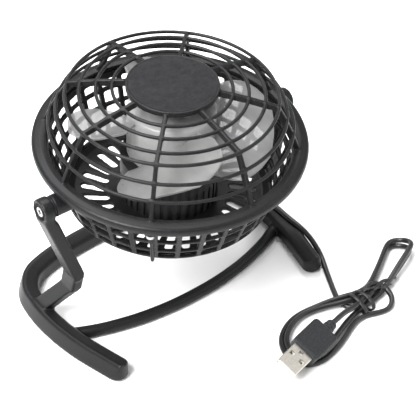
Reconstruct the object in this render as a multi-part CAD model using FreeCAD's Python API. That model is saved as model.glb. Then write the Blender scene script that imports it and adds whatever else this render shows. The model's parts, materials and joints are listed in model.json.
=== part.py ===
"""Small desk fan: a caged axial fan that tilts between the two bent arms of a low loop stand.

Millimetres, +Z up. The origin is on the floor under the middle of the fan without its lead.
The fan blows up at rest; -Y is the front, where the two feet point.
"""
import math
import os

import FreeCAD
import Part

V = FreeCAD.Vector

# ---- stand ----
FLOOR_GAP = 1.3            # the rails clear the floor by what the rubber pads stand proud
RAIL_SECTION = [(5.6, FLOOR_GAP), (5.8, 2.8), (3.2, 11.0), (1.9, 12.0), (-4.6, 9.4), (-5.6, 8.4),
                (-5.7, FLOOR_GAP)]
RAIL_LINE = [(64.4, -45.0), (67.9, -32.0), (72.2, -16.0), (74.7, 2.0), (74.9, 19.0), (72.4, 35.5),
             (64.0, 46.6), (47.5, 52.0), (24.0, 54.4), (0.0, 55.2)]
TIP_CENTRE = (65.7, -39.8)
TIP_R = 5.6
LOOP_CUT_TOP = 15.0        # anything above the rails, for the cutters
REAR_BAR_END = 36.0        # the rails hand over to the rear bar here
BAR_SECTION = [(3.3, 1.3), (3.2, 4.4), (1.4, 7.0), (-1.6, 6.8), (-3.1, 5.0), (-3.2, 1.3)]
BAR_LINE = [(71.0, -3.0), (56.0, -10.2), (36.0, -16.2), (13.0, -19.5)]
PAD_R = 2.6
PAD_DEPTH = 2.4
PAD_PLACES = [(65.9, -39.5), (73.4, 28.0)]

# ---- arms and tilt pivot ----
PIVOT_Y = 0.78
PIVOT_Z = 88.4
EYE_R = 6.4
EYE_OUT = 78.5
EYE_IN = 72.3
EYE_RECESS_R = 4.6
EYE_RECESS = 2.0
ARM_T = 6.8
ARM_W = 10.5               # above the elbow
ARM_LOW_W = 8.6            # below the elbow
ARM_ELBOW = (60.9, 0.0, 35.4)
ELBOW_CUT = 6.5            # the elbow is rounded over this much of each leg
ARM_ROOT = (73.2, 21.0, 7.0)
ARM_NECK = (74.9, PIVOT_Y, 82.5)
SCREW_R = 1.6
RUNNING = 0.08             # radial clearance of every turning fit
SEAT = 0.02                # radial clearance of every fixed fit

# ---- head, in its own frame: z along the fan axis, zero at the top of the rim ----
REST_TILT = 4.65           # the head leans this far to the front at rest
PIVOT_DROP = 12.1          # pivot axis below the top of the rim
RIM_R = 70.0
DISC_R = 23.2
DISC_TOP = 31.9
DISC_T = 3.0
RINGS = [(29.6, 29.1), (37.5, 27.9), (45.8, 26.2), (52.6, 24.7), (57.2, 16.9), (61.1, 9.1)]
RING_WIRE_R = 0.95
RIB_COUNT = 8
RIB_T = 2.0
RIB_DEPTH = 3.6
RIM_PROFILE = [(62.6, -0.2), (65.6, 0.2), (68.5, -0.3), (69.6, -1.1), (70.0, -2.5), (69.7, -4.4),
               (68.6, -5.2), (67.4, -4.6), (67.3, -2.7), (62.6, -2.7)]

WALL_T = 2.0
BASKET_TOP = -2.9
BASKET_TOP_R = 64.2
BASKET_LOW_Z = -34.5
BASKET_LOW_R = 54.2
FLOOR_TOP = -36.5
FLOOR_BOTTOM = -38.5
FLOOR_EDGE_R = 50.5
SLOT_COUNT = 32            # the wall's and the floor's openings, per row
WALL_FIRST = 7.0           # angle of the first opening of a row
WALL_HALF = 4.3            # half an opening, in degrees
WALL_ROWS = [(-10.8, -6.2), (-19.2, -12.3), (-27.5, -20.7), (-33.8, -29.0)]
BOSS_ROWS = 2              # the upper rows are closed beside the pivot bosses
BOSS_CLEAR = 8.0
FLOOR_FIRST = 9.8
FLOOR_SLOT_W = 4.0
FLOOR_SLOT_R = (31.5, 46.0)
FLOOR_SWIRL = -14.3        # the floor slots lean off the radius by this much
BOSS_R = 5.6
BOSS_END = 71.3
WASHER_R = 4.7
PIVOT_HEAD_R = 2.6
PIVOT_SCREW_TIP = 60.0
LUG_ANGLES = [45.0, 135.0, 225.0, 315.0]
LUG_R = 65.2
LUG_W = 5.4
LUG_SHELF = -8.0           # seat of the grille screw's head
LUG_END = -19.0
LUG_SCREW_R = 1.2
BEAD_R = 1.0
BEAD_FROM = (60.9, -16.0)
BEAD_TO = (55.4, -35.2)

HOUSING_R = 25.5
HOUSING_TOP = -12.5
HOUSING_T = 1.8
SLEEVE_R = 14.4
MOTOR_R = 12.0
MOTOR_Z = (-34.0, -15.2)
SHAFT_R = 1.0
SHAFT_Z = (-35.6, 14.0)
HUB_R = 22.4
HUB_Z = (-9.0, 19.0)
HUB_T = 1.6
BLADE_COUNT = 4
BLADE_TIP_R = 51.6
BLADE_CHORD = 58.0
BLADE_T = 1.7
BLADE_PITCH = 25.0
BLADE_MID_Z = 4.0
BLADE_START = -38.0        # angle of the first blade about the fan axis

SWITCH_PLACE = (0.0, 18.8) # under the basket's floor, beside the motor
SWITCH_HALF = (5.8, 4.0)
SWITCH_DEPTH = 8.4
BEZEL_T = 1.2
ROCKER_PIVOT = 0.1         # pivot of the rocker, outside the panel it sits in
ROCKER_REST = -8.0
WIRE_R = 0.6
WIRE_Z = -35.2

# ---- lead, hank and plug, lying on the floor ----
CORD_R = 1.5
GLAND_EXIT = (74.6, 9.0, 13.5)
GLAND_L = 8.0
CORD_LINE = [GLAND_EXIT, (74.6, 1.5, 13.5), (74.1, -6.5, 13.5), (74.1, -14.0, 14.0), (75.2, -20.8, 13.1),
             (76.4, -27.0, 10.0), (76.8, -32.6, 5.8), (75.2, -38.6, 2.7), (71.5, -45.4, 1.6),
             (67.2, -53.4, 1.5), (63.6, -61.7, 1.7), (61.4, -70.5, 2.6)]
PLUG_STRAND = [(38.42, -87.18, 11.03), (43.6, -86.08, 11.18), (49.5, -84.4, 9.8), (56.0, -83.0, 7.6),
               (62.6, -82.2, 5.6)]
HANK_TOP = 5.2
HANK_LEFT_OUT = [(62, -69.5), (47, -65.2), (33, -64.2), (17, -68.8), (8.2, -79.5), (7.6, -90.5),
                 (15.5, -99.2), (28, -100.2), (43, -96), (56, -89.8), (62, -86), (62, -76)]
HANK_LEFT_IN = [(53, -76.5), (38, -71.8), (24, -73.5), (15.5, -80), (15, -88.5), (22, -92.6),
                (31, -91.8), (44, -86.5), (54, -82.5)]
HANK_RIGHT_OUT = [(69.5, -74.5), (88, -67.2), (104, -59.6), (118, -55.4), (122, -58), (116, -65.5),
                  (103, -73.8), (88, -80), (69.5, -83)]
HANK_RIGHT_IN = [(90, -73.5), (104, -66.5), (113.5, -61), (110.5, -66), (101, -71), (90, -76)]
HANK_SMALL_OUT = [(69.5, -85), (79, -77.5), (84.5, -81), (83, -88), (76, -92), (68.5, -90.5), (66, -87)]
HANK_SMALL_IN = [(72, -86.8), (78, -81.6), (80, -85), (76, -88.8)]
HANK_SMALL_TOP = 3.2
TIE_BOX = (62.0, 69.5, -86.5, -72.5, 7.2)
PLUG_TIP = (-1.2, -95.6, 9.9)
PLUG_ALONG = (0.978, 0.208, 0.028)
PLUG_LEAN = 24.8           # roll about its length, the near long edge down
SHELL_L = 13.5
SHELL_HALF_W = 6.0
SHELL_HALF_T = 2.25
SHELL_SHEET = 0.35
SHEET_GAP = 0.05
SHELL_ROUND = 0.6
SHELL_WINDOWS = [(6.6, 9.0, -3.2), (6.6, 9.0, 3.2), (10.6, 12.6, 0.0)]
WINDOW_HALF = 1.25
GRIP_L = 20.0
GRIP_HALF_W = 8.0
GRIP_HALF_T = 4.0
RELIEF_L = 7.0


def save(name, shape):
    """Write one node's STEP file and report its volume."""
    solids = shape.Solids
    body = solids[0] if len(solids) == 1 else Part.makeCompound(solids)
    body.exportStep("parts/" + name + ".step")
    print(name, "solids", len(solids), "volume", round(sum(s.Volume for s in solids), 1), body.isValid())


def disc(r, z0, z1, x=0.0, y=0.0):
    """Upright cylinder from z0 to z1."""
    return Part.makeCylinder(r, z1 - z0, V(x, y, z0))


def tube(r_out, r_in, z0, z1):
    """Upright tube about the z axis."""
    return disc(r_out, z0, z1).cut(disc(r_in, z0 - 1.0, z1 + 1.0))


def bar_x(r, x0, x1, y, z):
    """Cylinder along X."""
    return Part.makeCylinder(r, x1 - x0, V(x0, y, z), V(1, 0, 0))


def block(x0, x1, y0, y1, z0, z1):
    """Box between two corners."""
    return Part.makeBox(x1 - x0, y1 - y0, z1 - z0, V(x0, y0, z0))


def turned(points):
    """Solid of revolution about z from an (r, z) outline."""
    face = Part.Face(Part.makePolygon([V(r, 0, z) for r, z in points + points[:1]]))
    return face.revolve(V(0, 0, 0), V(0, 0, 1), 360)


def spun(shape, angle):
    """Copy turned about the z axis."""
    copy = shape.copy()
    copy.rotate(V(0, 0, 0), V(0, 0, 1), angle)
    return copy


def mirrored(shape):
    """Copy on the other side of the YZ plane."""
    return shape.mirror(V(0, 0, 0), V(1, 0, 0))


def biggest(shape):
    """Largest solid of a cut."""
    return max(shape.Solids, key=lambda s: s.Volume)


def smooth_path(points, show=None):
    """Straight runs joined by tangent arcs, each as large as its two runs allow."""
    pts = [V(*p) for p in points]
    edges = []
    start = pts[0]
    radii = []
    for a, b, c in zip(pts, pts[1:], pts[2:]):
        d1 = (b - a).normalize()
        d2 = (c - b).normalize()
        half = d1.getAngle(d2) / 2
        cut = 0.45 * min((b - a).Length, (c - b).Length)
        radii.append(cut / math.tan(half))
        p = b - d1 * cut
        q = b + d2 * cut
        bulge = (d2 - d1).normalize()
        middle = b + bulge * (radii[-1] / math.cos(half) - radii[-1])
        edges.append(Part.LineSegment(start, p).toShape())
        edges.append(Part.Arc(p, middle, q).toShape())
        start = q
    edges.append(Part.LineSegment(start, pts[-1]).toShape())
    if show:
        print(show, "radii", [round(r, 1) for r in radii])
    return Part.Wire(edges)


def flat_sweep(line, section):
    """Sweep a (outward, up) section along a level line; outward is to the right of travel."""
    path = smooth_path([(x, y, 0.0) for x, y in line])
    along = (V(line[1][0], line[1][1], 0) - V(line[0][0], line[0][1], 0)).normalize()
    out = V(along.y, -along.x, 0)
    start = V(line[0][0], line[0][1], 0)
    ring = [start + out * u + V(0, 0, v) for u, v in section]
    profile = Part.makePolygon(ring + ring[:1])
    return path.makePipeShell([profile], True, False)


# ---------------------------------------------------------------- stand

def stand_loop():
    """The whole horseshoe of rails and rear bar, before it is split."""
    right = flat_sweep(RAIL_LINE, RAIL_SECTION)
    x, y = TIP_CENTRE
    away = block(x - 15, x + 15, y - 20, y, -1, LOOP_CUT_TOP)
    away = away.cut(disc(TIP_R, -2, LOOP_CUT_TOP, x, y))
    away.rotate(V(x, y, 0), V(0, 0, 1), -14)
    right = right.cut(away)
    left = mirrored(right)
    return right, left


def pad_sockets():
    """Four round rubber pads let into the underside of the rails."""
    pads = []
    for x, y in PAD_PLACES:
        pads.append(disc(PAD_R, 0, PAD_DEPTH, x, y))
        pads.append(disc(PAD_R, 0, PAD_DEPTH, -x, y))
    return pads


def strap(a, b, width, thick):
    """Straight flat bar from a to b, its width as near to Y as its direction allows."""
    a = V(*a)
    b = V(*b)
    d = (b - a).normalize()
    w = (V(0, 1, 0) - d * d.y).normalize()
    n = d.cross(w)
    corners = [a + w * s * (width / 2) + n * t * (thick / 2) for s, t in [(1, 1), (1, -1), (-1, -1), (-1, 1)]]
    face = Part.Face(Part.makePolygon(corners + corners[:1]))
    return face.extrude(b - a)


def right_arm(rail):
    """Bent arm: root on the rail, elbow under the head, eye at the pivot."""
    elbow = V(*ARM_ELBOW)
    low = elbow + (V(*ARM_ROOT) - elbow).normalize() * ELBOW_CUT
    high = elbow + (V(*ARM_NECK) - elbow).normalize() * ELBOW_CUT
    arm = strap(ARM_ROOT, low, ARM_LOW_W, ARM_T)
    arm = arm.fuse([strap(low, high, ARM_W, ARM_T), strap(high, ARM_NECK, ARM_W, ARM_T)])
    for place, width in [(low, ARM_LOW_W), (high, ARM_W)]:
        arm = arm.fuse(Part.makeCylinder(ARM_T / 2, width, place - V(0, width / 2, 0), V(0, 1, 0)))
    eye = bar_x(EYE_R, EYE_IN, EYE_OUT, PIVOT_Y, PIVOT_Z)
    neck = strap(ARM_NECK, ((EYE_IN + EYE_OUT) / 2, PIVOT_Y, PIVOT_Z), ARM_W, ARM_T)
    arm = arm.fuse([eye, neck])
    arm = arm.cut(block(0, EYE_IN, -20, 25, PIVOT_Z - EYE_R - 0.4, PIVOT_Z + 20))
    arm = arm.cut(bar_x(SCREW_R + RUNNING, 60, 80, PIVOT_Y, PIVOT_Z))
    arm = arm.cut(bar_x(EYE_RECESS_R, EYE_OUT - EYE_RECESS, 80, PIVOT_Y, PIVOT_Z))
    return biggest(arm.cut(rail).removeSplitter())


def front_bar(right, left):
    """Arched bar between the two rails."""
    line = BAR_LINE + [(-x, y) for x, y in BAR_LINE[::-1]]
    bar = flat_sweep(line[::-1], [(-u, v) for u, v in BAR_SECTION][::-1])
    return biggest(bar.cut(right).cut(left))


def gland():
    """Tapered boot on top of the right rail, at the root of the arm; the lead leaves it to the front."""
    x, y, z = GLAND_EXIT
    wide = CORD_R + 1.3
    seat = block(x - wide, x + wide, y + GLAND_L - 2, y + GLAND_L + 4, z - 5, z + wide - 0.2)
    nose = Part.makeCone(CORD_R + 0.35, wide, GLAND_L, V(x, y, z), V(0, 1, 0))
    return seat.fuse(nose)


def make_stand():
    """All the pieces of the stand."""
    right, left = stand_loop()
    pads = pad_sockets()
    rear = block(-REAR_BAR_END, REAR_BAR_END, 40, 70, -1, LOOP_CUT_TOP)
    rail_r = biggest(right.cut(rear))
    rail_l = biggest(left.cut(rear))
    bar_rear = right.common(rear).fuse(left.common(rear)).removeSplitter()
    outlet = gland()
    for name, rail in [("right_rail", rail_r), ("left_rail", rail_l)]:
        holed = rail.cut(Part.makeCompound(pads))
        save(name, biggest(holed))
    save("rear_bar", bar_rear)
    save("front_bar", front_bar(rail_r, rail_l))
    arm = right_arm(right)
    outlet = biggest(outlet.cut(rail_r).cut(arm))
    save("right_arm", arm)
    save("left_arm", mirrored(arm))
    save("foot_pads", Part.makeCompound(pads))
    save("cord_gland", outlet)


# ---------------------------------------------------------------- head

def place_head(shape):
    """From the head's own frame to its place between the arms."""
    copy = shape.copy()
    copy.translate(V(0, PIVOT_Y, PIVOT_Z + PIVOT_DROP))
    copy.rotate(V(0, PIVOT_Y, PIVOT_Z), V(1, 0, 0), REST_TILT)
    return copy


def save_head(name, shape):
    """Write a head piece in its place."""
    save(name, place_head(shape))


def rib():
    """One curved spoke of the front grille, standing on edge."""
    top = [(DISC_R - 1.5, DISC_TOP - 0.9)] + [(r, z + 0.8) for r, z in RINGS] + [(65.4, -0.2)]
    low = []
    for i, (r, z) in enumerate(top):
        r0, z0 = top[max(i - 1, 0)]
        r1, z1 = top[min(i + 1, len(top) - 1)]
        length = math.hypot(r1 - r0, z1 - z0)
        low.append((r + (z1 - z0) / length * RIB_DEPTH, z - (r1 - r0) / length * RIB_DEPTH))
    low[-1] = (63.0, -1.6)
    outline = [V(r, -RIB_T / 2, z) for r, z in top + low[::-1]]
    face = Part.Face(Part.makePolygon(outline + outline[:1]))
    return face.extrude(V(0, RIB_T, 0))


def front_grille():
    """Rim, rings, ribs and the round seat of the centre plate in one moulding."""
    rings = [Part.makeTorus(r, RING_WIRE_R, V(0, 0, z)) for r, z in RINGS]
    ribs = [spun(rib(), 360.0 / RIB_COUNT * i) for i in range(RIB_COUNT)]
    seat = disc(DISC_R, DISC_TOP - DISC_T, DISC_TOP)
    body = turned(RIM_PROFILE).multiFuse([seat] + rings + ribs)
    body = body.cut(disc(DISC_R - 1.1, DISC_TOP - 1.0, DISC_TOP + 1))
    for angle in LUG_ANGLES:
        body = body.cut(spun(disc(LUG_SCREW_R + SEAT, -6, -0.9, LUG_R, 0), angle))
    return biggest(body)


def wall_opening(z0, z1):
    """Cutter for one opening of the wall, pointing along X."""
    rise = math.tan(math.radians(WALL_HALF))
    near = 46.0
    far = 70.0
    outline = [V(near, -near * rise, z0), V(far, -far * rise, z0)]
    outline += [V(far, far * rise, z0), V(near, near * rise, z0)]
    return Part.Face(Part.makePolygon(outline + outline[:1])).extrude(V(0, 0, z1 - z0))


def floor_slot():
    """Cutter for one round-ended slot of the floor, leaning off the radius."""
    r0, r1 = FLOOR_SLOT_R
    half = FLOOR_SLOT_W / 2
    low = FLOOR_BOTTOM - 1
    high = FLOOR_TOP + 0.5
    slot = block(r0 + half, r1 - half, -half, half, low, high)
    slot = slot.fuse([disc(half, low, high, r0 + half, 0), disc(half, low, high, r1 - half, 0)])
    slot.rotate(V((r0 + r1) / 2, 0, 0), V(0, 0, 1), FLOOR_SWIRL)
    return slot


def basket_cutters():
    """The openings of the wall and of the floor."""
    cutters = []
    pitch = 360.0 / SLOT_COUNT
    for row, (z0, z1) in enumerate(WALL_ROWS):
        for i in range(SLOT_COUNT):
            angle = WALL_FIRST + pitch * i
            near_boss = min(angle % 180, 180 - angle % 180) < BOSS_CLEAR
            if near_boss and row < BOSS_ROWS:
                continue
            cutters.append(spun(wall_opening(z0, z1), angle))
    for i in range(SLOT_COUNT):
        cutters.append(spun(floor_slot(), FLOOR_FIRST + pitch * i))
    return cutters


def lug():
    """Shelf under the rim for one grille screw, narrowing into a bead down the wall."""
    half = LUG_W / 2
    side = [(62.9, -3.0), (67.0, -3.0), (67.0, LUG_SHELF), (62.4, LUG_SHELF), (61.4, LUG_END),
            (58.0, LUG_END)]
    side = [V(r, -half, z) for r, z in side]
    face = [(-half, -2.0), (half, -2.0), (half, LUG_SHELF - 1), (BEAD_R, LUG_END), (-BEAD_R, LUG_END),
            (-half, LUG_SHELF - 1)]
    face = [V(50, y, z) for y, z in face]
    fin = Part.Face(Part.makePolygon(side + side[:1])).extrude(V(0, LUG_W, 0))
    fin = fin.common(Part.Face(Part.makePolygon(face + face[:1])).extrude(V(20, 0, 0)))
    top = V(BEAD_FROM[0], 0, BEAD_FROM[1])
    end = V(BEAD_TO[0], 0, BEAD_TO[1])
    bead = Part.makeCylinder(BEAD_R, (end - top).Length, top, end - top)
    return fin.multiFuse([bead, Part.makeSphere(BEAD_R, end)])


def rear_basket():
    """Open rear half of the cage, with its flange, pivot bosses, screw lugs and the switch's seat."""
    shell = turned([(0, FLOOR_BOTTOM), (FLOOR_EDGE_R, FLOOR_BOTTOM), (BASKET_LOW_R, BASKET_LOW_Z),
                    (BASKET_TOP_R, -4.5), (66.9, -4.5), (66.9, BASKET_TOP),
                    (BASKET_TOP_R - WALL_T, BASKET_TOP), (BASKET_LOW_R - WALL_T, BASKET_LOW_Z + 0.6),
                    (FLOOR_EDGE_R - 1.2, FLOOR_TOP), (0, FLOOR_TOP)])
    shell = shell.cut(Part.makeCompound(basket_cutters()))
    extra = [spun(bar_x(BOSS_R, 59.5, BOSS_END, 0, -PIVOT_DROP), turn) for turn in (0, 180)]
    extra += [spun(lug(), angle) for angle in LUG_ANGLES]
    shell = shell.multiFuse(extra)
    for turn in (0, 180):
        shell = shell.cut(spun(bar_x(SCREW_R + SEAT, 59, 72, 0, -PIVOT_DROP), turn))
    for angle in LUG_ANGLES:
        shell = shell.cut(spun(disc(LUG_SCREW_R + SEAT, -30, 0, LUG_R, 0), angle))
    x, y = SWITCH_PLACE
    w, h = SWITCH_HALF
    w += 0.1
    h += 0.1
    shell = shell.cut(block(x - w, x + w, y - h, y + h, FLOOR_BOTTOM - 1, FLOOR_TOP + 1))
    for x, y in housing_screw_places():
        shell = shell.cut(disc(LUG_SCREW_R + SEAT, -40, -35, x, y))
    return biggest(shell)


def housing_screw_places():
    """Three screws that hold the motor housing to the floor."""
    return [(19.5 * math.cos(math.radians(a)), 19.5 * math.sin(math.radians(a))) for a in (30, 150, 270)]


def motor_housing():
    """Round cup over the motor, open below, grooved round its foot."""
    cup = tube(HOUSING_R, HOUSING_R - HOUSING_T, FLOOR_TOP, HOUSING_TOP)
    lid = tube(HOUSING_R, 5.2, HOUSING_TOP - 1.8, HOUSING_TOP)
    sleeve = tube(SLEEVE_R, MOTOR_R + SEAT, -34.5, HOUSING_TOP - 1.8)
    posts = [disc(2.8, FLOOR_TOP, HOUSING_TOP - 1.8, x, y) for x, y in housing_screw_places()]
    body = cup.multiFuse([lid, sleeve] + posts)
    for i in range(36):
        groove = block(HOUSING_R - 0.7, HOUSING_R + 1, -0.9, 0.9, FLOOR_TOP - 1, -22)
        body = body.cut(spun(groove, 10.0 * i + 5))
    for x, y in housing_screw_places():
        body = body.cut(disc(LUG_SCREW_R + SEAT, -40, -26, x, y))
    return biggest(body)


def motor_pieces():
    """The direct-current motor, taken apart."""
    low, high = MOTOR_Z
    can = disc(MOTOR_R, low, high).cut(disc(MOTOR_R - 0.8, low - 1, high - 0.8))
    can = can.fuse(disc(3.2, high - 0.1, high + 1.6)).cut(disc(2.4, high - 1.5, high + 2))
    save_head("motor_can", biggest(can))
    bush = tube(2.4 - SEAT, SHAFT_R + RUNNING, high - 0.8, high + 1.6)
    save_head("front_bush", bush)
    cap = disc(MOTOR_R - 0.8 - SEAT, low, low + 1.6).cut(disc(2.2, low - 1, low + 3))
    for side in (-1, 1):
        cap = cap.cut(block(side * 5 - 1.1, side * 5 + 1.1, 8.2, 9.2, low - 1, low + 3))
    save_head("motor_end_cap", cap)
    save_head("rear_bush", tube(2.2 - SEAT, SHAFT_R + RUNNING, low - 0.6, low + 1.6))
    ring = tube(MOTOR_R - 0.8 - SEAT, 9.0, low + 3.2, high - 1.4)
    gap = block(-3.0, 3.0, -15, 15, low, high)
    save_head("field_magnets", ring.cut(gap))
    save_head("armature_core", armature(low))
    windings = [spun(block(4.4, 7.0, -1.3, 1.3, low + 6.4, high - 3.4), 60 + 120 * i) for i in range(3)]
    save_head("armature_windings", Part.makeCompound(windings))
    save_head("commutator", tube(2.4, SHAFT_R + SEAT, low + 1.9, low + 5.6))
    brushes = [block(side * 3.0 - 0.5, side * 3.0 + 0.5, -1.2, 1.2, low + 1.6, low + 4.8) for side in (-1, 1)]
    save_head("brushes", Part.makeCompound(brushes))
    pins = [block(side * 5 - 1.0, side * 5 + 1.0, 8.3, 9.1, low - 1.4, low + 1.6) for side in (-1, 1)]
    save_head("motor_terminals", Part.makeCompound(pins))
    save_head("motor_shaft", disc(SHAFT_R, SHAFT_Z[0], SHAFT_Z[1]))


def armature(low):
    """Three-pole laminated core."""
    core = disc(4.2, low + 6.4, low + 15.4)
    poles = []
    for i in range(3):
        pole = block(0, 7.4, -1.2, 1.2, low + 6.4, low + 15.4)
        shoe = tube(8.6, 7.2, low + 6.4, low + 15.4).common(block(0, 9, -6.4, 6.4, low, low + 20))
        poles.append(spun(pole.fuse(shoe), 120.0 * i))
    return core.multiFuse(poles).cut(disc(SHAFT_R + SEAT, low, low + 20))


def impeller():
    """Hub cup and four wide pitched blades."""
    z0, z1 = HUB_Z
    hub = disc(HUB_R, z0, z1).cut(disc(HUB_R - HUB_T, z0 - 1, z1 - HUB_T))
    hub = hub.fuse(disc(3.4, -2.0, z1 - 0.5))
    blades = []
    for i in range(BLADE_COUNT):
        half = BLADE_CHORD / 2
        blade = block(HUB_R - 1.0, BLADE_TIP_R + 4, -half, half, -BLADE_T / 2, BLADE_T / 2)
        blade = blade.cut(block(-1, 30, half - 9, half + 1, -2, 2))
        blade = blade.cut(block(-1, 30, -half - 1, 9 - half, -2, 2))
        blade.rotate(V(0, 0, 0), V(1, 0, 0), BLADE_PITCH)
        blade.translate(V(0, 0, BLADE_MID_Z))
        blade = blade.common(disc(BLADE_TIP_R, z0 - 5, z1 + 5)).cut(disc(HUB_R - 0.8, z0 - 6, z1 + 6))
        blades.append(spun(blade, BLADE_START + 360.0 / BLADE_COUNT * i))
    body = hub.multiFuse(blades)
    return biggest(body.cut(disc(SHAFT_R + SEAT, -5, SHAFT_Z[1] + SEAT)))


def place_switch(shape):
    """From the switch's own frame (y outward, zero at its panel) to the underside of the floor."""
    copy = shape.copy()
    copy.rotate(V(0, 0, 0), V(1, 0, 0), -90)
    copy.translate(V(*SWITCH_PLACE, FLOOR_BOTTOM))
    return copy


def switch_pieces():
    """Rocker switch let into the floor of the basket, facing out."""
    w, h = SWITCH_HALF
    body = block(-w, w, -SWITCH_DEPTH, BEZEL_T, -h, h)
    body = body.fuse(block(-w - 1.4, w + 1.4, 0, BEZEL_T, -h - 1.4, h + 1.4))
    body = body.cut(block(-4.5, 4.5, -3.8, BEZEL_T + 1, -3.4, 3.4))
    body = body.cut(bar_x(0.7 + RUNNING, -5.2, 5.2, ROCKER_PIVOT, 0))
    save_head("switch_body", place_switch(biggest(body)))
    outline = [(-1.6, -1.4), (1.6, -2.9), (2.1, -2.7), (1.3, 0.0), (2.1, 2.7), (1.6, 2.9), (-1.6, 1.4)]
    pts = [V(-4.2, ROCKER_PIVOT + y, h) for y, h in outline]
    rocker = Part.Face(Part.makePolygon(pts + pts[:1])).extrude(V(8.4, 0, 0))
    rocker = rocker.fuse(bar_x(0.7, -5.0, 5.0, ROCKER_PIVOT, 0))
    rocker.rotate(V(0, ROCKER_PIVOT, 0), V(1, 0, 0), ROCKER_REST)
    save_head("switch_rocker", place_switch(rocker))


def screws():
    """Every fastener: lug screws, housing screws, pivot screws and friction washers."""
    lugs = []
    for angle in LUG_ANGLES:
        head = disc(2.1, LUG_SHELF - 1.6, LUG_SHELF, LUG_R, 0)
        lugs.append(spun(head.fuse(disc(LUG_SCREW_R, LUG_SHELF - 0.1, -1.0, LUG_R, 0)), angle))
    save_head("grille_screws", Part.makeCompound(lugs))
    floor = []
    for x, y in housing_screw_places():
        head = disc(2.3, FLOOR_BOTTOM - 1.2, FLOOR_BOTTOM, x, y)
        floor.append(head.fuse(disc(LUG_SCREW_R, FLOOR_BOTTOM - 0.1, -26.5, x, y)))
    save_head("housing_screws", Part.makeCompound(floor))
    pivots = []
    washers = []
    for turn in (0, 180):
        head = bar_x(PIVOT_HEAD_R, EYE_OUT - EYE_RECESS + 0.1, EYE_OUT - 0.3, 0, -PIVOT_DROP)
        cross = block(EYE_OUT - 1.3, EYE_OUT, -0.4, 0.4, -PIVOT_DROP - 1.6, -PIVOT_DROP + 1.6)
        cross = cross.fuse(block(EYE_OUT - 1.3, EYE_OUT, -1.6, 1.6, -PIVOT_DROP - 0.4, -PIVOT_DROP + 0.4))
        shank = bar_x(SCREW_R, PIVOT_SCREW_TIP, EYE_OUT - EYE_RECESS + 0.2, 0, -PIVOT_DROP)
        pivots.append(spun(head.fuse(shank).cut(cross), turn))
        washer = bar_x(WASHER_R, BOSS_END + 0.05, EYE_IN - 0.1, 0, -PIVOT_DROP)
        washers.append(spun(washer.cut(bar_x(SCREW_R + SEAT, 60, 80, 0, -PIVOT_DROP)), turn))
    save_head("pivot_screws", Part.makeCompound(pivots))
    save_head("pivot_washers", Part.makeCompound(washers))


def motor_leads():
    """Two insulated wires from the motor's terminals to the switch beside it."""
    near = SWITCH_PLACE[1] - SWITCH_HALF[1] - 0.05
    wires = [round_tube([(side * 5, 9.2, WIRE_Z), (side * 4.4, near, WIRE_Z)], WIRE_R) for side in (-1, 1)]
    return Part.makeCompound(wires)


def make_head():
    """All the pieces that tilt, with the rotor and the rocker."""
    save_head("front_grille", front_grille())
    plate = disc(DISC_R - 1.1 - SEAT, DISC_TOP - 1.0, DISC_TOP - 0.1)
    save_head("centre_plate", plate)
    save_head("rear_basket", rear_basket())
    save_head("motor_housing", motor_housing())
    motor_pieces()
    save_head("impeller", impeller())
    switch_pieces()
    screws()
    save_head("motor_leads", motor_leads())


# ---------------------------------------------------------------- lead, hank and plug

def round_tube(points, radius, show=None):
    """Round tube along a smooth path."""
    path = smooth_path(points, show)
    start = V(*points[0])
    along = V(*points[1]) - start
    profile = Part.Wire([Part.makeCircle(radius, start, along)])
    solid = path.makePipeShell([profile], True, False)
    if show:
        print(show, "length", round(path.Length, 1), "volume / (section x length)",
              round(solid.Volume / (math.pi * radius ** 2 * path.Length), 4))
    return solid


def rounded_slab(points, z0, z1):
    """Closed slab with a smooth outline through hand-placed corners."""
    edges = []
    pts = [V(x, y, z0) for x, y in points]
    n = len(pts)
    for i in range(n):
        a = (pts[i] + pts[i - 1]) * 0.5
        b = pts[i]
        c = (pts[i] + pts[(i + 1) % n]) * 0.5
        curve = Part.BezierCurve()
        curve.setPoles([a, b, c])
        edges.append(curve.toShape())
    return Part.Face(Part.Wire(edges)).extrude(V(0, 0, z1 - z0))


def hank_solids():
    """The three tied loops of the wound lead, as their outer shape."""
    left = rounded_slab(HANK_LEFT_OUT, 0, HANK_TOP).cut(rounded_slab(HANK_LEFT_IN, -1, HANK_TOP + 1))
    right = rounded_slab(HANK_RIGHT_OUT, 0, HANK_TOP).cut(rounded_slab(HANK_RIGHT_IN, -1, HANK_TOP + 1))
    small = rounded_slab(HANK_SMALL_OUT, 0, HANK_SMALL_TOP)
    small = small.cut(rounded_slab(HANK_SMALL_IN, -1, HANK_SMALL_TOP + 1))
    return left, right, small.cut(right)


def plug_place(shape):
    """From the plug's own frame (x from tip to cord, z its broad face) to where it lies."""
    along = V(*PLUG_ALONG).normalize()
    side = V(0, 0, 1).cross(along).normalize()
    up = along.cross(side)
    a = math.radians(PLUG_LEAN)
    side, up = side * math.cos(a) + up * math.sin(a), up * math.cos(a) - side * math.sin(a)
    m = FreeCAD.Matrix(along.x, side.x, up.x, PLUG_TIP[0], along.y, side.y, up.y, PLUG_TIP[1],
                       along.z, side.z, up.z, PLUG_TIP[2], 0, 0, 0, 1)
    return shape.transformGeometry(m)


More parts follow.
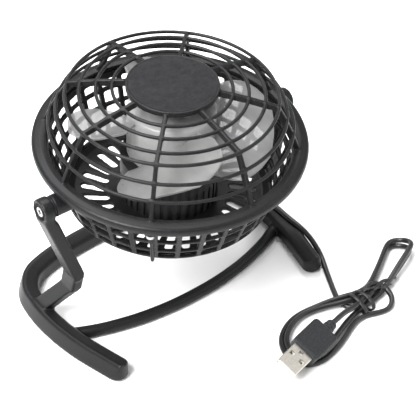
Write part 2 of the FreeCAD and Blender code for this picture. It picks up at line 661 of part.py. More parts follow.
def plug_outer():
    """Shell, grip and strain relief as plain solids in the plug's own frame."""
    shell = block(0, SHELL_L, -SHELL_HALF_W, SHELL_HALF_W, -SHELL_HALF_T, SHELL_HALF_T)
    shell = shell.makeFillet(SHELL_ROUND, [e for e in shell.Edges if e.BoundBox.XLength > 1])
    grip = block(SHELL_L, SHELL_L + GRIP_L, -GRIP_HALF_W, GRIP_HALF_W, -GRIP_HALF_T, GRIP_HALF_T)
    upright = [e for e in grip.Edges if abs(e.Vertexes[0].Z - e.Vertexes[1].Z) > 1]
    grip = grip.makeFillet(2.6, upright)
    grip = grip.makeFillet(1.0, [e for e in grip.Edges if e.BoundBox.ZLength < 0.01])
    relief = Part.makeCone(3.2, 2.0, RELIEF_L, V(SHELL_L + GRIP_L, 0, 0), V(1, 0, 0))
    return shell, grip, relief


def plug_pieces(shell, grip, relief):
    """Type-A plug: folded metal shell, insulating tongue, contacts, moulded grip and strain relief."""
    half_w = SHELL_HALF_W - SHELL_SHEET
    half_t = SHELL_HALF_T - SHELL_SHEET
    shell = shell.cut(block(-1, SHELL_L - 0.6, -half_w, half_w, -half_t, half_t))
    for x0, x1, y in SHELL_WINDOWS:
        low = 0 if y == 0 else -SHELL_HALF_T - 1
        shell = shell.cut(block(x0, x1, y - WINDOW_HALF, y + WINDOW_HALF, low, SHELL_HALF_T + 1))
    save("plug_shell", plug_place(shell))
    tongue = block(0.6, SHELL_L - 0.7, SHEET_GAP - half_w, half_w - SHEET_GAP, SHEET_GAP - half_t, -0.05)
    save("plug_tongue", plug_place(tongue))
    contacts = [block(1.4, 9.0, y - 0.5, y + 0.5, 0.0, 0.25) for y in (-3.5, -1.0, 1.0, 3.5)]
    save("plug_contacts", plug_place(Part.makeCompound(contacts)))
    save("plug_grip", plug_place(grip))
    save("plug_relief", plug_place(relief))


def make_lead():
    """Lead, hank, tie and plug."""
    left, right, small = hank_solids()
    x0, x1, y0, y1, top = TIE_BOX
    tie = block(x0, x1, y0, y1, 0, top)
    cord = round_tube(CORD_LINE, CORD_R, "power_cord")
    strand = round_tube(PLUG_STRAND, CORD_R, "plug_strand")
    plug = plug_outer()
    for piece in plug:
        left = left.cut(plug_place(piece))
    save("power_cord", cord)
    save("plug_strand", strand)
    save("hank_left_loop", biggest(left.cut(tie).cut(cord).cut(strand)))
    save("hank_right_loop", biggest(right.cut(tie)))
    save("hank_small_loop", biggest(small.cut(tie)))
    save("cord_tie", biggest(tie.cut(cord).cut(strand)))
    plug_pieces(*plug)


os.makedirs("parts", exist_ok=True)
make_stand()
make_head()
make_lead()
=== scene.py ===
import json
import math

import bmesh
import bpy
from mathutils import Matrix, Vector


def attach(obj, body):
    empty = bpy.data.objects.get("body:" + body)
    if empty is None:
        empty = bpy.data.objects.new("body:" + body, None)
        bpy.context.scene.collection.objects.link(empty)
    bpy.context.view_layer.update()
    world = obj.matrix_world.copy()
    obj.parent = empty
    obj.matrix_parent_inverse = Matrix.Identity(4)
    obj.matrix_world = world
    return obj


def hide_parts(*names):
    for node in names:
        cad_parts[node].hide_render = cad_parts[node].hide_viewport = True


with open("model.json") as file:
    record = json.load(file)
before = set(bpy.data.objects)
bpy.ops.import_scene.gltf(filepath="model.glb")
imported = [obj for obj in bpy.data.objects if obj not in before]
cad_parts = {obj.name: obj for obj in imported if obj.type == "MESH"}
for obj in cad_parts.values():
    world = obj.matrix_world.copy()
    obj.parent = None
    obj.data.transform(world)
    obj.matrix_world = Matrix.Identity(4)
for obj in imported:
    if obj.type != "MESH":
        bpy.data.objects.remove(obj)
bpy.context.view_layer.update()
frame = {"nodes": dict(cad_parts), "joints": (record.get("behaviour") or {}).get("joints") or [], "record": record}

MM = 0.001                 # shapes are given in millimetres, and the scene is in metres
SCENE = bpy.context.scene
NODES = frame["nodes"]
FAN = next(j for j in frame["joints"] if j["name"] == "fan_spin")
AXIS = Vector(FAN["axis"]).normalized()
LEAN = Matrix.Rotation(math.atan2(-AXIS.y, AXIS.z), 4, "X")
HEAD = Matrix.Translation(Vector(FAN["pos_m"])) @ LEAN      # from the fan's own frame, z along its axis


# ---------------------------------------------------------------- camera

CAM_AZ = -38.01            # degrees about z, from a camera that looks along +Y
CAM_EL = 39.71
CAM_LENS = 108.3           # millimetres, on a sensor of CAM_SENSOR
CAM_SENSOR = 36
CAM_DISTANCE = 0.630       # metres, as are the lengths below
CAM_RIGHT = 0.01878        # the camera stands this far to the right of its target, and CAM_UP above it
CAM_UP = -0.03766
CAM_TARGET = (0.0, 0.0, 0.10045)
CAM_CLIP = 0.01


def make_camera():
    """The camera at the photograph's angle."""
    az = math.radians(CAM_AZ)
    el = math.radians(CAM_EL)
    back = Vector((math.sin(az) * math.cos(el), -math.cos(az) * math.cos(el), math.sin(el)))
    right = Vector((math.cos(az), math.sin(az), 0))
    up = back.cross(right)
    cam = bpy.data.objects.new("camera", bpy.data.cameras.new("camera"))
    SCENE.collection.objects.link(cam)
    place = Vector(CAM_TARGET) + right * CAM_RIGHT + up * CAM_UP + back * CAM_DISTANCE
    cam.matrix_world = Matrix.Translation(place) @ Matrix((right, up, back)).transposed().to_4x4()
    cam.data.lens = CAM_LENS
    cam.data.sensor_width = CAM_SENSOR
    cam.data.clip_start = CAM_CLIP
    SCENE.camera = cam


make_camera()


# ---------------------------------------------------------------- mesh helpers

def link(name, data):
    """New object in the scene."""
    ob = bpy.data.objects.new(name, data)
    SCENE.collection.objects.link(ob)
    return ob


def mesh_object(name, bm, smooth=True):
    """Object from a bmesh, with its normals outward."""
    bmesh.ops.remove_doubles(bm, verts=bm.verts, dist=1e-6)
    bmesh.ops.recalc_face_normals(bm, faces=bm.faces)
    me = bpy.data.meshes.new(name)
    bm.to_mesh(me)
    bm.free()
    me.polygons.foreach_set("use_smooth", [smooth] * len(me.polygons))
    return link(name, me)


def bake_modifiers(ob):
    """Apply every modifier of a new piece to its mesh."""
    bpy.context.view_layer.update()
    done = bpy.data.meshes.new_from_object(ob.evaluated_get(bpy.context.evaluated_depsgraph_get()))
    ob.modifiers.clear()
    ob.data = done
    return ob


def ring_strip(bm, loops, closed_path):
    """Join rings of equal length into a skin, capped at both ends unless its path is closed."""
    rows = [[bm.verts.new(p) for p in loop] for loop in loops]
    n = len(rows[0])
    last = len(rows) if closed_path else len(rows) - 1
    for i in range(last):
        a = rows[i]
        b = rows[(i + 1) % len(rows)]
        for k in range(n):
            bm.faces.new((a[k], a[(k + 1) % n], b[(k + 1) % n], b[k]))
    if not closed_path:
        bm.faces.new(rows[0][::-1])
        bm.faces.new(rows[-1])


def lathe(bm, outline, steps, place=Matrix()):
    """Closed (r, z) outline in mm turned about z."""
    loops = []
    for i in range(steps):
        a = 2 * math.pi * i / steps
        loops.append([place @ (Vector((r * math.cos(a), r * math.sin(a), z)) * MM) for r, z in outline])
    ring_strip(bm, loops, True)


def sweep(bm, points, section, up_hint):
    """Sweep a (side, up) section along points; up_hint gives the up direction at each point."""
    loops = []
    for i, p in enumerate(points):
        ahead = points[min(i + 1, len(points) - 1)] - points[max(i - 1, 0)]
        t = ahead.normalized()
        up = up_hint(i)
        up = (up - t * up.dot(t)).normalized()
        side = t.cross(up)
        loops.append([p + side * u + up * v for u, v in section(i)])
    ring_strip(bm, loops, False)


KEPT_FACES = 0.6           # share of the remeshed faces that a moulding keeps


def moulded(name, nodes, body, voxel, rounds):
    """One seamless moulding over the given CAD nodes: fused, with its edges and inner corners softened."""
    bm = bmesh.new()
    for node in nodes:
        bm.from_mesh(NODES[node].data)
    ob = mesh_object(name, bm)
    fuse = ob.modifiers.new("fuse", "REMESH")
    fuse.mode = "VOXEL"
    fuse.voxel_size = voxel * MM
    fuse.use_smooth_shade = True
    soften = ob.modifiers.new("soften", "SMOOTH")
    soften.factor = 0.5
    soften.iterations = rounds
    thin = ob.modifiers.new("thin", "DECIMATE")
    thin.ratio = KEPT_FACES
    bake_modifiers(ob)
    ob.data.polygons.foreach_set("use_smooth", [True] * len(ob.data.polygons))
    dress(ob, BLACK)
    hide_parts(*nodes)
    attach(ob, body)


# ---------------------------------------------------------------- materials

def nodes_of(name):
    """New material, its node tree, principled shader and object coordinates."""
    mat = bpy.data.materials.new(name)
    mat.use_nodes = True
    tree = mat.node_tree
    shader = tree.nodes["Principled BSDF"]
    coords = tree.nodes.new("ShaderNodeTexCoord")
    return mat, tree, shader, coords.outputs["Object"]


def noise(tree, where, scale, detail=4.0, rough=0.55, stretch=None):
    """Noise texture; scale is in features per metre."""
    if stretch:
        mapping = tree.nodes.new("ShaderNodeMapping")
        mapping.inputs["Scale"].default_value = stretch
        tree.links.new(where, mapping.inputs["Vector"])
        where = mapping.outputs["Vector"]
    tex = tree.nodes.new("ShaderNodeTexNoise")
    tex.inputs["Scale"].default_value = scale
    tex.inputs["Detail"].default_value = detail
    tex.inputs["Roughness"].default_value = rough
    tree.links.new(where, tex.inputs["Vector"])
    return tex.outputs["Fac"]


def spread(tree, fac, low, high, at=(0.35, 0.65)):
    """Colour or value ramp over a factor."""
    ramp = tree.nodes.new("ShaderNodeValToRGB")
    ends = ramp.color_ramp.elements
    for end, place, value in zip(ends, at, (low, high)):
        end.position = place
        end.color = (*value, 1) if hasattr(value, "__len__") else (value, value, value, 1)
    tree.links.new(fac, ramp.inputs["Fac"])
    return ramp.outputs["Color"]


def mix(tree, fac, a, b, kind="MIX"):
    """Mix two colours; fac, a and b are sockets or plain values."""
    node = tree.nodes.new("ShaderNodeMix")
    node.data_type = "RGBA"
    node.blend_type = kind
    for key, value in (("Factor", fac), ("A", a), ("B", b)):
        socket = next(s for s in node.inputs if s.name == key and (key == "Factor" or s.type == "RGBA"))
        if isinstance(value, bpy.types.NodeSocket):
            tree.links.new(value, socket)
        else:
            socket.default_value = (*value, 1) if hasattr(value, "__len__") else value
    return next(s for s in node.outputs if s.type == "RGBA")


def bump(tree, shader, height, strength, distance):
    """Bump from a height socket."""
    node = tree.nodes.new("ShaderNodeBump")
    node.inputs["Strength"].default_value = strength
    node.inputs["Distance"].default_value = distance
    tree.links.new(height, node.inputs["Height"])
    tree.links.new(node.outputs["Normal"], shader.inputs["Normal"])


FLOW_SCALE = 45.0          # a moulding's flow marks, in features per metre
# scale of the noise patches that break up the painted edge highlight
EDGE_HIGHLIGHT_PATCH_SCALE = 260.0
EDGE_HIGHLIGHT_RANGE = (0.52, 0.62)     # Pointiness from where the painted edge highlight begins to where it is full


def moulded_plastic(name, dark, light, edge_highlight, rough, grain=1500.0, depth=0.00006, strength=0.35,
                    flowing=0.35, gloss=0.18):
    """Satin moulded plastic: fine spark-eroded grain, faint flow variation and a painted highlight on convex
    edges, broken into patches by noise.
    """
    mat, tree, shader, where = nodes_of(name)
    speckle = noise(tree, where, grain, 3.0, 0.6)
    flow = noise(tree, where, FLOW_SCALE, 3.0, 0.5)
    colour = mix(tree, spread(tree, speckle, 0.0, 1.0, (0.38, 0.66)), dark, light)
    colour = mix(tree, spread(tree, flow, 0.0, flowing), colour, light)
    # painted highlight: convex edges, found by Pointiness, are made lighter towards the edge colour, in patches of
    # noise
    edge = tree.nodes.new("ShaderNodeNewGeometry").outputs["Pointiness"]
    lit_edges = spread(tree, edge, 0.0, 1.0, EDGE_HIGHLIGHT_RANGE)
    patches = spread(tree, noise(tree, where, EDGE_HIGHLIGHT_PATCH_SCALE, 4.0, 0.6), 0.25, 0.8)
    painted_edge_highlight = mix(tree, 1.0, lit_edges, patches, "MULTIPLY")
    tree.links.new(mix(tree, painted_edge_highlight, colour, edge_highlight), shader.inputs["Base Color"])
    tree.links.new(spread(tree, speckle, rough - 0.06, rough + 0.10), shader.inputs["Roughness"])
    shader.inputs["Specular IOR Level"].default_value = gloss
    bump(tree, shader, speckle, strength, depth)
    return mat


FROST_RIM_HIGHLIGHT_RANGE = (0.52, 0.66)      # the same for the painted highlight on the rims of the frosted plastic
FROST_RIM_HIGHLIGHT = (0.72, 0.72, 0.70)


def frosted(name, dark, light, alpha, gloss=0.5):
    """Milky see-through plastic of the impeller, with flow lines, a satin skin and a painted highlight on its
    rims.
    """
    mat, tree, shader, where = nodes_of(name)
    cloud = noise(tree, where, 60.0, 4.0, 0.6, (1.0, 0.35, 1.0))
    # painted highlight: the rims, found by Pointiness, are made paler
    pointed = tree.nodes.new("ShaderNodeNewGeometry").outputs["Pointiness"]
    edge = spread(tree, pointed, 0.0, 0.8, FROST_RIM_HIGHLIGHT_RANGE)
    colour = spread(tree, cloud, dark, light, (0.3, 0.7))
    tree.links.new(mix(tree, edge, colour, FROST_RIM_HIGHLIGHT), shader.inputs["Base Color"])
    shader.inputs["Alpha"].default_value = alpha
    tree.links.new(spread(tree, cloud, 0.26, 0.40), shader.inputs["Roughness"])
    shader.inputs["Specular IOR Level"].default_value = gloss
    bump(tree, shader, noise(tree, where, 900.0, 2.0), 0.12, 0.00004)
    return mat


def metal(name, low, high, rough, stretch=(1.0, 1.0, 14.0), scale=500.0):
    """Rolled or turned metal with fine drawn lines and faint stains."""
    mat, tree, shader, where = nodes_of(name)
    lines = noise(tree, where, scale, 5.0, 0.6, stretch)
    stain = noise(tree, where, 180.0, 3.0)
    colour = mix(tree, spread(tree, stain, 0.0, 0.5), spread(tree, lines, low, high), low)
    tree.links.new(colour, shader.inputs["Base Color"])
    shader.inputs["Metallic"].default_value = 1.0
    tree.links.new(spread(tree, lines, rough, rough + 0.16), shader.inputs["Roughness"])
    bump(tree, shader, lines, 0.15, 0.00003)
    return mat


def cord_skin(name, dark, light, rough):
    """Extruded PVC: nearly smooth, slightly oily sheen and faint waviness."""
    mat, tree, shader, where = nodes_of(name)
    fine = noise(tree, where, 2200.0, 2.0, 0.5)
    wave = noise(tree, where, 220.0, 2.0, 0.5)
    colour = mix(tree, spread(tree, fine, 0.0, 1.0), dark, light)
    tree.links.new(colour, shader.inputs["Base Color"])
    tree.links.new(spread(tree, wave, rough - 0.05, rough + 0.08), shader.inputs["Roughness"])
    bump(tree, shader, mix(tree, 0.5, fine, wave), 0.25, 0.00005)
    return mat


# the third colour given to each moulded plastic is its painted edge highlight
BLACK = moulded_plastic("black_plastic", (0.0065, 0.0066, 0.0070), (0.0130, 0.0132, 0.0140),
                        (0.05, 0.05, 0.052), 0.36)
PLATE = moulded_plastic("plate_plastic", (0.0045, 0.0046, 0.0050), (0.0150, 0.0154, 0.0165),
                        (0.03, 0.03, 0.032), 0.50, grain=1100.0, depth=0.0001, strength=0.5, flowing=0.06,
                        gloss=0.08)
RUBBER = moulded_plastic("rubber_black", (0.010, 0.010, 0.010), (0.020, 0.020, 0.020),
                         (0.05, 0.05, 0.05), 0.75)
CORD = cord_skin("cord_pvc", (0.0065, 0.0065, 0.0070), (0.0130, 0.0130, 0.0135), 0.36)
GRIP = moulded_plastic("grip_pvc", (0.0150, 0.0155, 0.0165), (0.0280, 0.0290, 0.0310),
                       (0.06, 0.06, 0.063), 0.44, grain=1300.0, depth=0.00008, strength=0.4, flowing=0.15)
FROST = frosted("frosted_plastic", (0.34, 0.345, 0.345), (0.46, 0.46, 0.455), 0.64)
FROST_BLADE = frosted("frosted_blade", (0.18, 0.184, 0.184), (0.28, 0.28, 0.275), 0.64, gloss=0.30)
LOOKS = {
    "black_plastic": BLACK,
    "frosted_plastic": FROST,
    "rubber_black": RUBBER,
    "screw_steel": metal("screw_steel", (0.36, 0.36, 0.37), (0.56, 0.56, 0.57), 0.28),
    "motor_steel": metal("motor_steel", (0.50, 0.50, 0.49), (0.66, 0.66, 0.64), 0.32),
    "shaft_steel": metal("shaft_steel", (0.55, 0.55, 0.55), (0.72, 0.72, 0.72), 0.18),
    "bronze": metal("bronze", (0.50, 0.33, 0.16), (0.68, 0.48, 0.26), 0.35),
    "copper": metal("copper", (0.62, 0.28, 0.12), (0.80, 0.42, 0.22), 0.25),
    "ferrite": moulded_plastic("ferrite", (0.05, 0.05, 0.055), (0.09, 0.09, 0.09), (0.14, 0.14, 0.14), 0.65),
    "carbon": moulded_plastic("carbon", (0.02, 0.02, 0.02), (0.05, 0.05, 0.05), (0.09, 0.09, 0.09), 0.55),
    "cap_plastic": moulded_plastic("cap_plastic", (0.62, 0.60, 0.54), (0.74, 0.72, 0.67),
                                   (0.80, 0.79, 0.75), 0.5),
    "contact_gold": metal("contact_gold", (0.76, 0.56, 0.24), (0.90, 0.72, 0.38), 0.2),
    "plug_steel": metal("plug_steel", (0.50, 0.475, 0.425), (0.66, 0.635, 0.58), 0.34,
                        stretch=(1.0, 1.0, 1.0), scale=1400.0),
    "tongue_plastic": moulded_plastic("tongue_plastic", (0.72, 0.72, 0.70), (0.86, 0.86, 0.84),
                                      (0.9, 0.9, 0.88), 0.4),
    "cord_pvc": CORD,
}


def dress(ob, mat):
    """Give a piece its material."""
    ob.data.materials.clear()
    ob.data.materials.append(mat)


def dress_node(node, mat):
    """Give a CAD node its material on the object's own slots."""
    for slot in NODES[node].material_slots:
        slot.link = "OBJECT"
        slot.material = mat


for part in frame["record"]["subparts"]:
    dress_node(part["node"], LOOKS[part["material_slot"]])
dress_node("centre_plate", PLATE)
dress_node("plug_grip", GRIP)


def soften_edges(node, width):
    """Small rounded edges on a CAD node."""
    edge = NODES[node].modifiers.new("edge", "BEVEL")
    edge.width = width * MM
    edge.segments = 2
    edge.limit_method = "ANGLE"
    edge.angle_limit = math.radians(35)
    edge.harden_normals = True


# ---------------------------------------------------------------- lead, hank, tie and plug

CORD_R = 1.5
LEAD = [(74.6, 9.0, 13.5), (74.6, 1.5, 13.4), (74.1, -6.5, 13.3), (73.6, -14.0, 13.6), (74.2, -21.0, 12.8),
        (75.2, -27.4, 9.8), (75.8, -33.0, 5.6), (74.6, -39.2, 2.4), (70.8, -46.4, 1.5), (66.6, -54.2, 1.5),
        (62.4, -62.2, 1.5), (59.0, -69.6, 1.5), (59.6, -77.4, 1.5), (66.0, -80.8, 1.5)]
RIGHT_FIRST_OUT = [(73.2, -77.2, 1.5), (80.0, -72.4, 1.5), (88.7, -67.0, 1.5), (97.8, -61.9, 1.5),
                   (104.2, -58.0, 1.5), (110.2, -54.7, 1.5), (115.8, -56.3, 1.5), (118.5, -61.4, 2.6)]
RIGHT_FIRST_BACK = [(116.6, -66.6, 5.0), (109.6, -70.0, 5.4), (101.0, -73.2, 4.4), (92.0, -76.0, 2.8),
                    (83.4, -78.2, 1.7), (75.2, -78.4, 2.8)]
LEFT_INNER_UPPER = [(67.4, -77.2, 4.5), (61.4, -75.4, 4.8), (56.0, -73.4, 4.3), (50.0, -70.4, 3.6),
                    (43.5, -68.3, 3.3), (36.0, -67.1, 3.3), (29.0, -68.2, 3.3), (22.2, -71.2, 3.3),
                    (16.6, -75.6, 3.3), (13.2, -82.0, 3.3)]
LEFT_INNER_LOWER = [(13.6, -89.4, 3.3), (19.4, -94.0, 3.3), (27.4, -93.6, 3.3), (35.6, -91.2, 3.3),
                    (42.2, -88.7, 3.3), (49.2, -86.0, 3.2), (56.0, -83.8, 2.8), (62.4, -82.4, 2.2),
                    (69.0, -81.8, 1.9)]
RIGHT_SECOND_OUT = [(75.5, -81.2, 2.4), (82.0, -80.2, 3.6), (89.2, -77.8, 5.2), (97.0, -74.8, 6.8),
                    (104.6, -72.0, 8.2), (112.0, -69.2, 8.8), (118.4, -65.8, 8.2), (120.1, -60.6, 5.8),
                    (117.4, -55.7, 4.4)]
RIGHT_SECOND_BACK = [(111.8, -54.0, 4.4), (105.4, -57.6, 4.5), (97.8, -62.4, 4.5), (88.8, -67.6, 4.5),
                     (81.6, -71.6, 4.6), (75.0, -74.2, 4.9)]
LEFT_OUTER_UPPER = [(68.6, -73.8, 4.7), (62.0, -71.6, 4.6), (54.4, -68.4, 3.2), (46.2, -66.0, 1.9),
                    (37.5, -64.6, 1.5), (29.0, -65.2, 1.5), (21.0, -68.6, 1.5), (14.8, -73.4, 1.5),
                    (11.0, -80.4, 1.5)]
LEFT_OUTER_LOWER = [(10.2, -88.4, 1.5), (14.2, -95.2, 1.5), (22.0, -97.8, 1.5), (31.3, -96.4, 1.5),
                    (40.2, -93.6, 1.5), (49.2, -89.6, 1.5), (56.2, -87.0, 1.5), (63.0, -87.0, 1.5)]
SMALL_LOOP = [(69.6, -89.8, 1.5), (76.6, -91.4, 1.5), (83.0, -87.4, 2.2), (84.6, -80.8, 4.2),
              (81.8, -75.0, 5.6), (75.4, -74.0, 6.4)]
PLUG_STRAND = [(69.4, -79.4, 5.4), (62.6, -81.6, 6.3), (56.0, -83.0, 7.9), (49.5, -84.4, 9.8),
               (43.6, -86.08, 11.1), (38.42, -87.18, 11.03)]
CORD_ROUTE = (LEAD + RIGHT_FIRST_OUT + RIGHT_FIRST_BACK + LEFT_INNER_UPPER + LEFT_INNER_LOWER
              + RIGHT_SECOND_OUT + RIGHT_SECOND_BACK + LEFT_OUTER_UPPER + LEFT_OUTER_LOWER
              + SMALL_LOOP + PLUG_STRAND)


def make_cord():
    """The lead, from the gland through the hank to the plug, as one smooth line."""
    line = bpy.data.curves.new("lead_cord", "CURVE")
    line.dimensions = "3D"
    line.resolution_u = 8
    line.bevel_depth = CORD_R * MM
    line.bevel_resolution = 4
    line.use_fill_caps = True
    run = line.splines.new("NURBS")
    run.points.add(len(CORD_ROUTE) - 1)
    for point, (x, y, z) in zip(run.points, CORD_ROUTE):
        point.co = (x * MM, y * MM, z * MM, 1.0)
    run.order_u = 3
    run.use_endpoint_u = True
    run.use_smooth = True
    cord = link("lead_cord", line)
    cord.data.materials.append(CORD)
    return cord


def ribbon(name, path, outward, width, thick):
    """Flat strip with rounded edges along a path; outward gives the face direction at each point."""
    corners = 12
    round_r = thick / 2
    flat = width / 2 - round_r
    shape = []
    for k in range(corners):
        a = 2 * math.pi * (k + 0.5) / corners
        shape.append(((flat if math.cos(a) > 0 else -flat) + math.cos(a) * round_r, math.sin(a) * round_r))
    bm = bmesh.new()
    sweep(bm, path, lambda i: shape, lambda i: outward[i])
    return mesh_object(name, bm)


TIE_MIDDLE = (66.2, -79.4, 3.5)
TIE_HALF = (7.6, 4.0)      # half its width along y and half its height
TIE_START = -60            # angle about the bundle, in degrees
TIE_TURN = 900
TIE_SWAY = 3.0             # the band wanders this far along the bundle,
TIE_SWAYS = 1.25           # this many times
TIE_LOWEST = 0.55
TIE_STEPS = 90
TIE_BAND = (2.4, 1.0)      # width and thickness
TAIL_BAND = (2.2, 0.9)
TAIL_START = (69.5, 7.7)   # x and z where the tails leave the bundle
TAIL_ENDS = {"long": (1, (94.6, -77.4)), "short": (-1, (88.6, -79.6))}     # side, and x and y of the tip
TAIL_END_Z = 4.2
TAIL_HUMP = 1.1
TAIL_TWISTS = 1.6
TAIL_TWIST_R = 1.2
TAIL_STEPS = 30


def tie_band():
    """The part of the tie that crosses over itself round the bundle."""
    path = []
    outward = []
    x0, y0, z0 = TIE_MIDDLE
    half_y, half_z = TIE_HALF
    for i in range(TIE_STEPS + 1):
        t = i / TIE_STEPS
        a = math.radians(TIE_START + TIE_TURN * t)
        x = x0 + TIE_SWAY * math.sin(2 * math.pi * TIE_SWAYS * t)
        y = y0 + half_y * math.cos(a)
        z = max(z0 + half_z * math.sin(a), TIE_LOWEST)
        path.append(Vector((x, y, z)) * MM)
        outward.append(Vector((0, math.cos(a) / half_y, math.sin(a) / half_z)).normalized())
    return ribbon("wire_tie", path, outward, *[size * MM for size in TIE_BAND])


def tie_tail(name, side, reach):
    """One of the tie's two ends, twisted round the other, less and less towards its tip at reach."""
    x0, z0 = TAIL_START
    start = Vector((x0, TIE_MIDDLE[1] + TAIL_TWIST_R * side, z0))
    end = Vector((*reach, TAIL_END_Z))
    route = []
    faces = []
    for i in range(TAIL_STEPS + 1):
        t = i / TAIL_STEPS
        p = start.lerp(end, t) + Vector((0, 0, TAIL_HUMP * math.sin(math.pi * t)))
        curl = 2 * math.pi * TAIL_TWISTS * t + math.pi * (side < 0)
        p += Vector((0, math.cos(curl), 0.7 * math.sin(curl))) * (TAIL_TWIST_R * (1 - t) ** 0.5)
        route.append(p * MM)
        faces.append(Vector((0, math.sin(curl), math.cos(curl) + 1.4)).normalized())
    return ribbon(name, route, faces, *[size * MM for size in TAIL_BAND])


def make_tie():
    """Plastic-coated wire tie: two and a half turns round the bundle and two twisted tails."""
    band = tie_band()
    tails = [tie_tail("wire_tie_tail_" + name, side, reach) for name, (side, reach) in TAIL_ENDS.items()]
    for piece in [band] + tails:
        dress(piece, CORD)
        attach(piece, "stand")
    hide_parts("cord_tie")
    return [band] + tails


PLUG_TIP = (-1.2, -95.6, 9.9)
PLUG_ALONG = (0.978, 0.208, 0.028)
PLUG_LEAN = 24.8           # degrees about its length
RELIEF_START = 33.5        # from the plug's tip
RELIEF_OUTLINE = [(0.0, -0.6), (3.4, -0.6), (3.6, 0.2), (3.5, 1.2), (3.0, 1.6), (2.9, 2.2), (3.3, 2.6),
                  (3.3, 3.6), (2.8, 4.0), (2.7, 4.6), (3.0, 5.0), (2.9, 6.0), (2.2, 6.9), (1.6, 7.0),
                  (0.0, 7.0)]
RELIEF_STEPS = 40


def plug_matrix():
    """From the plug's own frame (x from tip to cord) to where it lies."""
    along = Vector(PLUG_ALONG).normalized()
    side = Vector((0, 0, 1)).cross(along).normalized()
    up = along.cross(side)
    a = math.radians(PLUG_LEAN)
    side, up = side * math.cos(a) + up * math.sin(a), up * math.cos(a) - side * math.sin(a)
    turn = Matrix((along, side, up)).transposed().to_4x4()
    return Matrix.Translation(Vector(PLUG_TIP) * MM) @ turn


def make_relief():
    """Ribbed strain relief behind the grip."""
    bm = bmesh.new()
    behind = Matrix.Translation((RELIEF_START * MM, 0, 0)) @ Matrix.Rotation(math.pi / 2, 4, "Y")
    lathe(bm, RELIEF_OUTLINE, RELIEF_STEPS, plug_matrix() @ behind)
    relief = mesh_object("plug_strain_relief", bm)
    round_it = relief.modifiers.new("round", "SUBSURF")
    round_it.levels = 1
    bake_modifiers(relief)
    dress(relief, GRIP)
    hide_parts("plug_relief")
    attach(relief, "stand")
    return relief


cord = make_cord()
tie = make_tie()
relief = make_relief()
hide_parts("power_cord", "plug_strand", "hank_left_loop", "hank_right_loop", "hank_small_loop")
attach(cord, "stand")


# ---------------------------------------------------------------- stand and head mouldings

STAND_NODES = ["left_rail", "right_rail", "rear_bar", "front_bar", "left_arm", "right_arm"]
moulded("stand_moulding", STAND_NODES, "stand", voxel=0.6, rounds=14)
moulded("grille_moulding", ["front_grille"], "head", voxel=0.4, rounds=4)
moulded("basket_moulding", ["rear_basket"], "head", voxel=0.45, rounds=3)


# ---------------------------------------------------------------- impeller

HUB_R = 22.4
HUB_Z = (-9.0, 19.0)
HUB_WALL = 1.6
HUB_STEPS = 96
SOCKET_R = (1.05, 3.4)     # shaft bore and outside of the socket inside the hub
SOCKET_Z = (-2.0, 14.0)    # open end of the socket and blind end of its bore
BLADE_TIP_R = 51.6
BLADE_ANGLES = [-38.0 + 90.0 * k for k in range(4)]
BLADE_ROOT = 0.4           # how far a blade reaches into the hub's wall
BLADE_T = 1.5
BLADE_HALF = (23.0, 11.0)  # half chord at the root, and what it gains to the tip
BLADE_PITCH = (31, 11)     # pitch at the root, and what it loses to the tip
BLADE_CAMBER = 1.6
BLADE_MID_Z = 4.0
CORNER_FROM = 0.45         # the outer corners are rounded from here outward
BLADE_GRID = (26, 16)      # faces across and along a blade
BLADE_EDGE = 0.5


def blade_row(bm, angle, v):
    """One row of points across a blade; v goes from 0 at the root to 1 at the tip."""
    across = BLADE_GRID[0]
    root = HUB_R - BLADE_ROOT
    r = root + (BLADE_TIP_R - root) * v
    corner = max(0.0, (v - CORNER_FROM) / (1 - CORNER_FROM))
    half = (BLADE_HALF[0] + BLADE_HALF[1] * v) * (1 - 0.80 * corner ** 2.6) ** 0.5
    pitch = math.radians(BLADE_PITCH[0] - BLADE_PITCH[1] * v)
    row = []
    for i in range(across + 1):
        u = -1 + 2 * i / across
        chord = u * half
        z = BLADE_MID_Z + chord * math.sin(pitch) + BLADE_CAMBER * (1 - u * u)
        a = math.radians(angle) + chord * math.cos(pitch) / max(r, 30.0)
        row.append(bm.verts.new((r * math.cos(a) * MM, r * math.sin(a) * MM, z * MM)))
    return row


def blade(bm_all, angle):
    """One wide pitched blade with a twist, a little camber and rounded corners."""
    across, along = BLADE_GRID
    bm = bmesh.new()
    rows = [blade_row(bm, angle, j / along) for j in range(along + 1)]
    for a, b in zip(rows, rows[1:]):
        for k in range(across):
            bm.faces.new((a[k], a[k + 1], b[k + 1], b[k]))
    me = bpy.data.meshes.new("blade")
    bm.to_mesh(me)
    bm.free()
    ob = link("blade_tmp", me)
    thick = ob.modifiers.new("thick", "SOLIDIFY")
    thick.thickness = BLADE_T * MM
    thick.offset = 0
    edge = ob.modifiers.new("edge", "BEVEL")
    edge.width = BLADE_EDGE * MM
    edge.segments = 2
    edge.limit_method = "ANGLE"
    edge.angle_limit = math.radians(50)
    bake_modifiers(ob)
    ob.data.polygons.foreach_set("material_index", [1] * len(ob.data.polygons))
    bm_all.from_mesh(ob.data)
    bpy.data.objects.remove(ob)


def hub_outline():
    """Half section of the hub cup, its rounded nose and the socket for the shaft."""
    z0, z1 = HUB_Z
    bore, socket = SOCKET_R
    low, blind = SOCKET_Z
    inner = HUB_R - HUB_WALL
    under = z1 - HUB_WALL
    nose = [(0.0, z1), (19.0, z1), (21.2, z1 - 0.5), (22.1, z1 - 1.4), (HUB_R, z1 - 3.0)]
    rim = [(HUB_R, z0 + 0.3), (HUB_R - 0.3, z0), (inner + 0.3, z0), (inner, z0 + 0.3)]
    inside = [(inner, z1 - 3.2), (inner - 0.7, z1 - 2.0), (19.0, under), (socket + 0.2, under)]
    return nose + rim + inside + [(socket, z1 - 2.4), (socket, low), (bore, low), (bore, blind), (0.0, blind)]


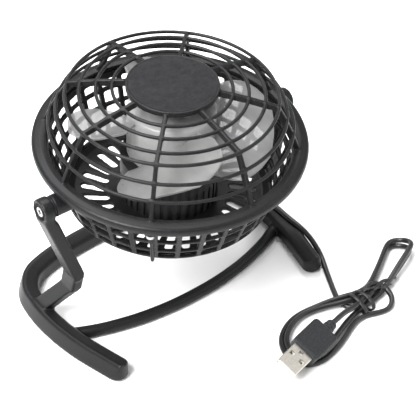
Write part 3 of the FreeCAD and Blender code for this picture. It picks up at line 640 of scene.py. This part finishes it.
def make_impeller():
    """Hub cup and four blades in frosted plastic; the thin blades look darker than the hub."""
    bm = bmesh.new()
    lathe(bm, hub_outline(), HUB_STEPS)
    for angle in BLADE_ANGLES:
        blade(bm, angle)
    bmesh.ops.transform(bm, matrix=HEAD, verts=bm.verts)
    ob = mesh_object("impeller_frosted", bm)
    for mat in (FROST, FROST_BLADE):
        ob.data.materials.append(mat)
    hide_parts("impeller")
    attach(ob, "rotor")


make_impeller()


# ---------------------------------------------------------------- small edges on the carried-over nodes

EDGES = {"centre_plate": 0.3, "motor_housing": 0.3, "plug_shell": 0.2, "cord_gland": 0.5,
         "switch_body": 0.3, "switch_rocker": 0.3}
for node, width in EDGES.items():
    soften_edges(node, width)


# ---------------------------------------------------------------- floor and light

FLOOR_HALF = 4.0
LIGHTS = [("key", (-0.75, -0.15, 0.95), (0, 0, 0.06), 0.6, 28),
          ("top", (0.15, 0.45, 1.20), (0, 0, 0.05), 0.9, 18),
          ("fill", (0.9, -0.7, 0.7), (0, 0, 0.05), 0.8, 4)]     # name, place, target, size and power
WORLD_STRENGTH = 0.45


def make_floor():
    """Plain pale floor."""
    bm = bmesh.new()
    bmesh.ops.create_grid(bm, x_segments=2, y_segments=2, size=FLOOR_HALF)
    floor = mesh_object("floor", bm)
    mat, tree, shader, where = nodes_of("floor_white")
    tree.links.new(spread(tree, noise(tree, where, 8.0), (0.93, 0.93, 0.93), (0.95, 0.95, 0.95)),
                   shader.inputs["Base Color"])
    shader.inputs["Roughness"].default_value = 0.9
    shader.inputs["Specular IOR Level"].default_value = 0.1
    dress(floor, mat)


def area_light(name, place, target, size, power):
    """Soft square lamp aimed at a point."""
    data = bpy.data.lights.new(name, "AREA")
    data.size = size
    data.energy = power
    lamp = link(name, data)
    lamp.location = place
    lamp.rotation_euler = (Vector(target) - Vector(place)).to_track_quat("-Z", "Y").to_euler()


def make_world():
    """Even white surroundings."""
    world = bpy.data.worlds.new("studio")
    world.use_nodes = True
    background = world.node_tree.nodes["Background"]
    background.inputs["Color"].default_value = (1, 1, 1, 1)
    background.inputs["Strength"].default_value = WORLD_STRENGTH
    SCENE.world = world


make_floor()
for lamp in LIGHTS:
    area_light(*lamp)
make_world()
SCENE.view_settings.view_transform = "Standard"
